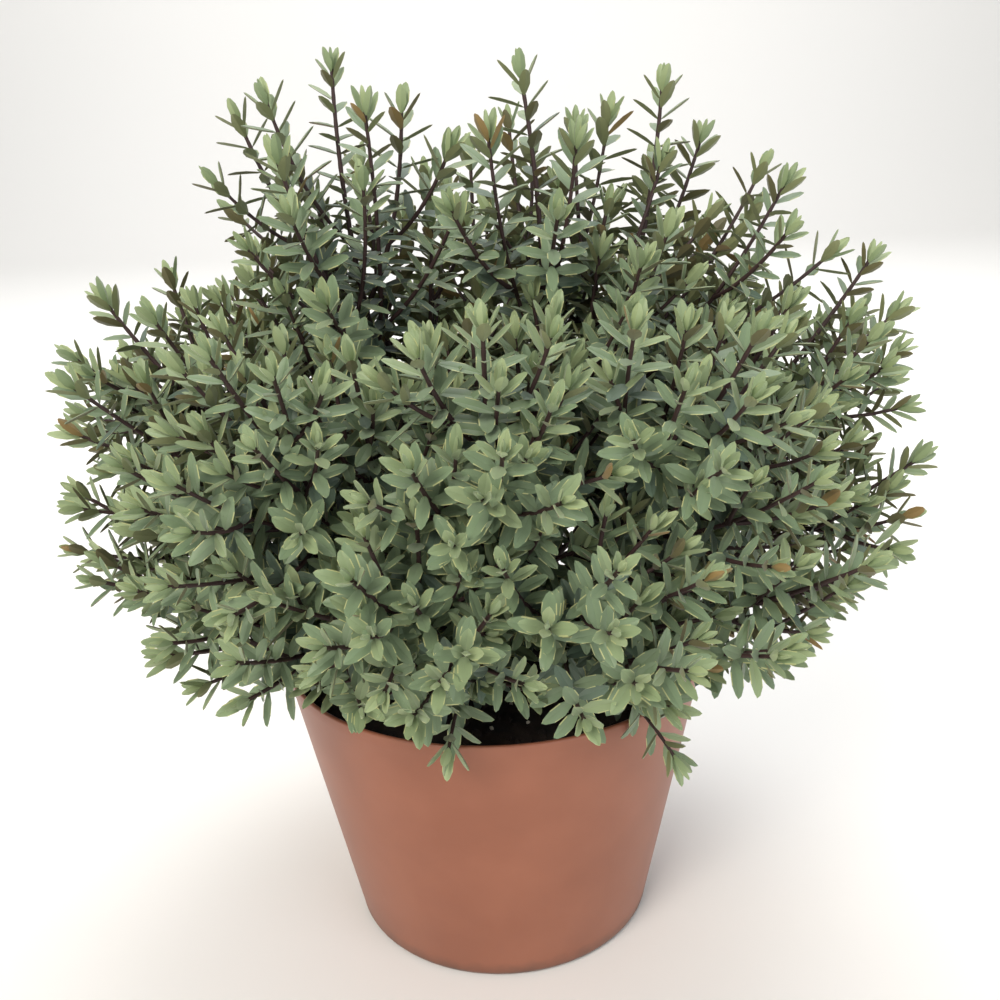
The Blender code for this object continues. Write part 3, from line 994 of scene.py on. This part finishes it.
    def grow(self) -> None:
        """Grow all shoots, the hanging ones first, as each keeps later tips away."""
        self.hang()
        for mass, tip in enumerate(self.tips):
            chance = random.Random(self.seed * 100 + mass)
            limb = self.limb(tip)
            length = path_length(limb)
            begin = self.bough_share * length + self.gap
            stem = stretch(limb, begin, length - self.bud, self.stem_points)
            for path in self.fork(mass, limb, stem, chance):
                turn = chance.uniform(0.0, math.pi)
                for number, place in enumerate(self.side_places):
                    for half in (0.0, math.pi):
                        share = (1.0 - place) * chance.uniform(*self.fine_reach_share)
                        about = turn + half + 0.5 * math.pi * number
                        twig = self.side_shoot(path, place, about, share * path_length(path))
                        self.keep(mass, twig, self.fine_radii, chance, self.leafy_length[0])

    def leaves(self, shoot: Shoot, chance: random.Random) -> list[tuple]:
        """Place the crossed pairs of leaves of a shoot, from its bud down.

        Args:
            shoot: the shoot.
            chance: its random draws.

        Returns:
            Root, blade, across, face, length, curl, tint and back tint of each leaf.
        """
        placed = []
        length = path_length(shoot.path)
        turn = chance.uniform(0.0, math.pi)
        below = 0.0
        number = 0
        while below < min(length - self.bare_foot, shoot.leafy):
            place, direction = walk(shoot.path, length - below)
            age = 1.0 - math.exp(-below / self.opening_run)
            young = math.exp(-below / self.growth_run)
            opening = self.opening[0] + (self.opening[1] - self.opening[0]) * age
            size = self.leaf_length[1] - (self.leaf_length[1] - self.leaf_length[0]) * young
            if number == 0:
                opening = self.bud_opening
                size = self.bud
            old = below / self.leafy_length[1]
            for half in (0.0, math.pi):
                lost = self.lost_share[0] + self.lost_share[1] * old ** 2
                if number > self.kept_pairs and chance.random() < lost:
                    continue
                tilt = math.radians(chance.uniform(-self.lean_spread, self.lean_spread))
                lean = opening + tilt * min(1.0, number / 2)
                sway = math.radians(chance.uniform(-self.sway_spread, self.sway_spread))
                side = side_of(direction, turn + half + sway)
                blade = direction * math.cos(lean) + side * math.sin(lean)
                face = direction * math.sin(lean) - side * math.cos(lean)
                reach = size * shoot.vigour * chance.uniform(*self.length_spread)
                reach *= 1.0 - self.old_shrinks * old
                root = place + side * self.leaf_foot
                curl = self.young_curl * young + chance.uniform(*self.old_curl) * age
                if number == 0:
                    curl = self.bud_curl
                points = np.array([root + blade * reach * s for s in (0.5, 1.0)])
                if not self.has_room(points):
                    continue
                tint, back = self.colours(number, old, chance)
                placed.append((root, blade, np.cross(face, blade), face, reach, curl, tint, back))
            spread = min(1.0, number / self.crowded_pairs)
            below += self.internode * (self.crowding + (1.0 - self.crowding) * spread)
            turn += 0.5 * math.pi
            number += 1
        return placed

    def colours(self, number: int, old: float, chance: random.Random) -> tuple[int, int]:
        """Choose a leaf's tints by its place on the shoot, darker further down, partly as painted
        shade.

        Args:
            number: how many pairs stand above it.
            old: share of the leafy length above it.
            chance: the shoot's random draws.

        Returns:
            Tint numbers of its upper face and underside.
        """
        # Down the shoot the tints darken: partly the leaves' ageing, partly painted shade of the
        # crown's inside
        ladder = (Tint.BUD, Tint.FRESH, Tint.FULL, Tint.GREY, Tint.SHADED)
        step = min(number / self.pairs_a_tint, self.rosette_tints) + self.old_tints * old
        step += chance.uniform(-self.tint_spread, self.tint_spread)
        tint = ladder[max(0, min(len(ladder) - 1, round(step)))]
        draw = chance.random()
        back = Tint.UNDER if draw < self.fresh_backs - self.dulled_backs * old else Tint.UNDER_OLD
        if number < 2:
            back = Tint.BUD if draw < 0.5 else Tint.FRESH
        if draw > 1.0 - self.tan_backs:
            back = Tint.TAN
        return TINTS.index(tint), TINTS.index(back)

    def foliage(self) -> None:
        """Join the leaves into pieces by the part of the crown that they stand in."""
        pattern = LeafPattern()
        materials = [tint.material() for tint in TINTS]
        for part, (first, stop) in CROWN_PARTS.items():
            placed = []
            for order, shoot in enumerate(self.shoots):
                if first <= shoot.mass < stop:
                    placed += self.leaves(shoot, random.Random(self.seed * 7919 + order))
            root, blade, across, face = (np.array([row[i] for row in placed]) for i in range(4))
            length, curl = (np.array([row[i] for row in placed])[:, None] for i in (4, 5))
            tint, back = (np.array([row[i] for row in placed]) for i in (6, 7))
            x = pattern.corners[None, :, 0] * length
            y = pattern.corners[None, :, 1] * length * self.leaf_half_width
            z = pattern.corners[None, :, 2] * self.leaf_thickness
            z = z - curl * length * pattern.corners[None, :, 0] ** 2
            corners = (root[:, None] + x[..., None] * blade[:, None]
                       + y[..., None] * across[:, None] + z[..., None] * face[:, None])
            corners = corners.reshape(-1, 3)
            shift = len(pattern.corners) * np.arange(len(placed))[:, None, None]
            faces = (pattern.faces[None] + shift).reshape(-1, 3)
            pile = Pile()
            pile.add(corners, faces, pattern.slots(tint, back).reshape(-1))
            piece = pile.piece("leaves_" + part, materials, self.leaf_crease)
            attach(piece, "root")
            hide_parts(*[f"foliage_{m + 1:02d}" for m in range(first, stop)])

    def twigs(self) -> bpy.types.Object:
        """Join the shoots' stems, each with slight swellings an internode apart.

        Returns:
            The finished piece.
        """
        pile = Pile()
        for shoot in self.shoots:
            length = path_length(shoot.path)
            count = max(8, int(length / (self.internode / 2.0)))
            path = stretch(shoot.path, 0.0, length, count)
            radii = np.linspace(*shoot.radii, count)
            radii = radii * np.where(np.arange(count) % 2 == 0, *self.twig_swelling)
            corners, faces = tube(path, radii, self.twig_sides)
            pile.add(corners, faces, np.zeros(len(faces)))
        piece = pile.piece("twigs", [TWIG.material()], math.radians(60.0))
        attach(piece, "root")
        return piece

    def wood(self) -> bpy.types.Object:
        """Join the short stem and the boughs, with the relief of their bark.

        Returns:
            The finished piece.
        """
        draw = np.random.default_rng(self.seed)
        pile = Pile()
        low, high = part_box("main_stem")
        heights = np.linspace(low[2], high[2], self.trunk_rings)
        share = (heights - low[2]) / (high[2] - low[2])
        flare = self.root_flare * np.exp(-share / self.flare_share)
        bulb = np.sqrt(np.maximum(0.0, 1.0 - ((heights - self.head[2]) / self.head_radius) ** 2))
        neck = self.neck_radius * (share < self.neck_share)
        profile = np.maximum(np.maximum(flare, neck), (self.head_radius - self.head_inset) * bulb)
        profile = np.maximum(profile, self.least_radius)
        profile[0] = min(profile[0], self.foot_radius)
        relief = draw.random((self.trunk_rings, self.trunk_sides))
        ridges = 1.0 - self.trunk_relief * relief
        path = np.stack([0.0 * heights, 0.0 * heights, heights], axis=1)
        corners, faces = tube(path, profile[:, None] * ridges, self.trunk_sides)
        pile.add(corners, faces, np.zeros(len(faces)))
        for tip in self.tips:
            limb = self.limb(tip)
            length = self.bough_share * path_length(limb)
            count = int(length / self.bough_ring)
            path = stretch(limb, 0.0, length, count)
            radii = np.linspace(*self.bough_radii, count)[:, None]
            relief = 1.0 - self.bough_relief * draw.random((count, self.bough_sides))
            corners, faces = tube(path, radii * relief, self.bough_sides)
            pile.add(corners, faces, np.zeros(len(faces)))
        piece = pile.piece("stem_and_boughs", [BARK.material()], math.radians(50.0))
        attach(piece, "root")
        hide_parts("main_stem", *[f"bough_{i + 1:02d}" for i in range(len(self.tips))])
        return piece


@dataclass
class Studio:
    """Pale floor, soft light and the camera at the photograph's angle."""

    camera_place: tuple[float, float, float] = (0.0, -0.4609, 0.3525)
    pitch: float = math.radians(18.55)
    yaw: float = math.radians(0.583)
    roll: float = math.radians(-2.08)
    focal_px: float = 1100.0
    frame_px: float = 1000.0
    sensor_mm: float = 36.0
    floor_reach: float = 4.0
    floor_middle: tuple[float, float, float] = (0.0, -1.0, 0.0)
    sweep: float = 1.2
    sweep_steps: int = 12

    def camera(self) -> None:
        """Set the camera as the pot's rim and foot in the photograph place it."""
        data = bpy.data.cameras.new("camera")
        data.sensor_width = self.sensor_mm
        data.lens = self.focal_px / self.frame_px * self.sensor_mm
        data.clip_start = 0.01
        item = bpy.data.objects.new("camera", data)
        bpy.context.scene.collection.objects.link(item)
        forward = Vector((math.sin(self.yaw) * math.cos(self.pitch),
                          math.cos(self.yaw) * math.cos(self.pitch), -math.sin(self.pitch)))
        right = Vector((math.cos(self.yaw), -math.sin(self.yaw), 0.0))
        above = right.cross(forward)
        turned = right * math.cos(self.roll) + above * math.sin(self.roll)
        raised = above * math.cos(self.roll) - right * math.sin(self.roll)
        turn = Matrix((turned, raised, -forward)).transposed().to_4x4()
        item.matrix_world = Matrix.Translation(self.camera_place) @ turn
        bpy.context.scene.camera = item

    def floor(self) -> None:
        """Lay a pale floor that sweeps up behind the pot."""
        deselect()
        bpy.ops.mesh.primitive_plane_add(size=2.0 * self.floor_reach,
                                         location=self.floor_middle)
        floor = bpy.context.active_object
        floor.name = "floor"
        bpy.ops.object.transform_apply(location=True, rotation=True, scale=True)
        bpy.ops.object.mode_set(mode="EDIT")
        bpy.ops.mesh.select_mode(type="EDGE")
        bpy.ops.mesh.select_all(action="DESELECT")
        bpy.ops.object.mode_set(mode="OBJECT")
        back = max(vertex.co.y for vertex in floor.data.vertices) - 0.1
        for edge in floor.data.edges:
            edge.select = all(floor.data.vertices[v].co.y > back for v in edge.vertices)
        bpy.ops.object.mode_set(mode="EDIT")
        angles = np.radians(np.linspace(0.0, 90.0, self.sweep_steps + 1))
        for begin, end in zip(angles, angles[1:]):
            step = (0.0, self.sweep * (math.sin(end) - math.sin(begin)),
                    self.sweep * (math.cos(begin) - math.cos(end)))
            bpy.ops.mesh.extrude_region_move(TRANSFORM_OT_translate={"value": step})
        bpy.ops.mesh.extrude_region_move(
            TRANSFORM_OT_translate={"value": (0.0, 0.0, self.floor_reach / 2.0)})
        bpy.ops.object.mode_set(mode="OBJECT")
        floor.data.shade_smooth()
        floor.data.materials.append(
            Finish("pale_studio_floor", "#EDECEA", 0.8, 3.0, 0.02).material())

    def lamp(self, name: str, place: tuple[float, float, float], size: float, power: float,
             tone: str, target: tuple[float, float, float] = (0.0, 0.0, 0.2)) -> None:
        """Hang a square soft light.

        Args:
            name: the light's name.
            place: where it hangs.
            size: its side, in metres.
            power: its power, in watts.
            tone: its colour.
            target: the place that it faces.
        """
        data = bpy.data.lights.new(name, "AREA")
        data.size = size
        data.energy = power
        data.color = linear(tone)[:3]
        item = bpy.data.objects.new(name, data)
        item.location = place
        aim = Vector(target) - Vector(place)
        item.rotation_euler = aim.to_track_quat("-Z", "Y").to_euler()
        bpy.context.scene.collection.objects.link(item)

    def light(self) -> None:
        """Light the plant softly from above and in front."""
        world = bpy.data.worlds.new("studio")
        bpy.context.scene.world = world
        world.use_nodes = True
        backdrop = world.node_tree.nodes["Background"]
        backdrop.inputs["Color"].default_value = linear("#F4F4F2")
        backdrop.inputs["Strength"].default_value = 0.5
        self.lamp("key", (-0.7, -1.3, 1.3), 0.8, 26.0, "#FFF8EE")
        self.lamp("fill", (1.0, -1.1, 0.6), 1.0, 8.0, "#F2F6FF")
        self.lamp("top", (0.2, 0.5, 1.6), 1.0, 10.0, "#FFFFFF")
        self.lamp("backdrop", (0.0, 1.2, 2.4), 2.4, 75.0, "#FFFFFF", (0.0, 3.6, 0.6))
        bpy.context.scene.view_settings.view_transform = "Standard"


def main() -> None:
    """Build the plant, its pot and the studio in order."""
    logging.basicConfig(level=logging.INFO, format="%(message)s")
    studio = Studio()
    studio.camera()
    studio.floor()
    studio.light()
    pot = Pot()
    pot.build()
    LOG.info("pot: built")
    compost = Compost(pot)
    compost.build()
    LOG.info("compost: built")
    compost.scatter("compost_crumbs", COMPOST, compost.crumbs, compost.crumb_size, 3)
    compost.scatter("perlite_grains", PERLITE, compost.grains, compost.grain_size, 5)
    shrub = Shrub(pot)
    shrub.wood()
    shrub.grow()
    LOG.info("%d shoots", len(shrub.shoots))
    shrub.twigs()
    shrub.foliage()


if __name__ == "__main__":
    main()
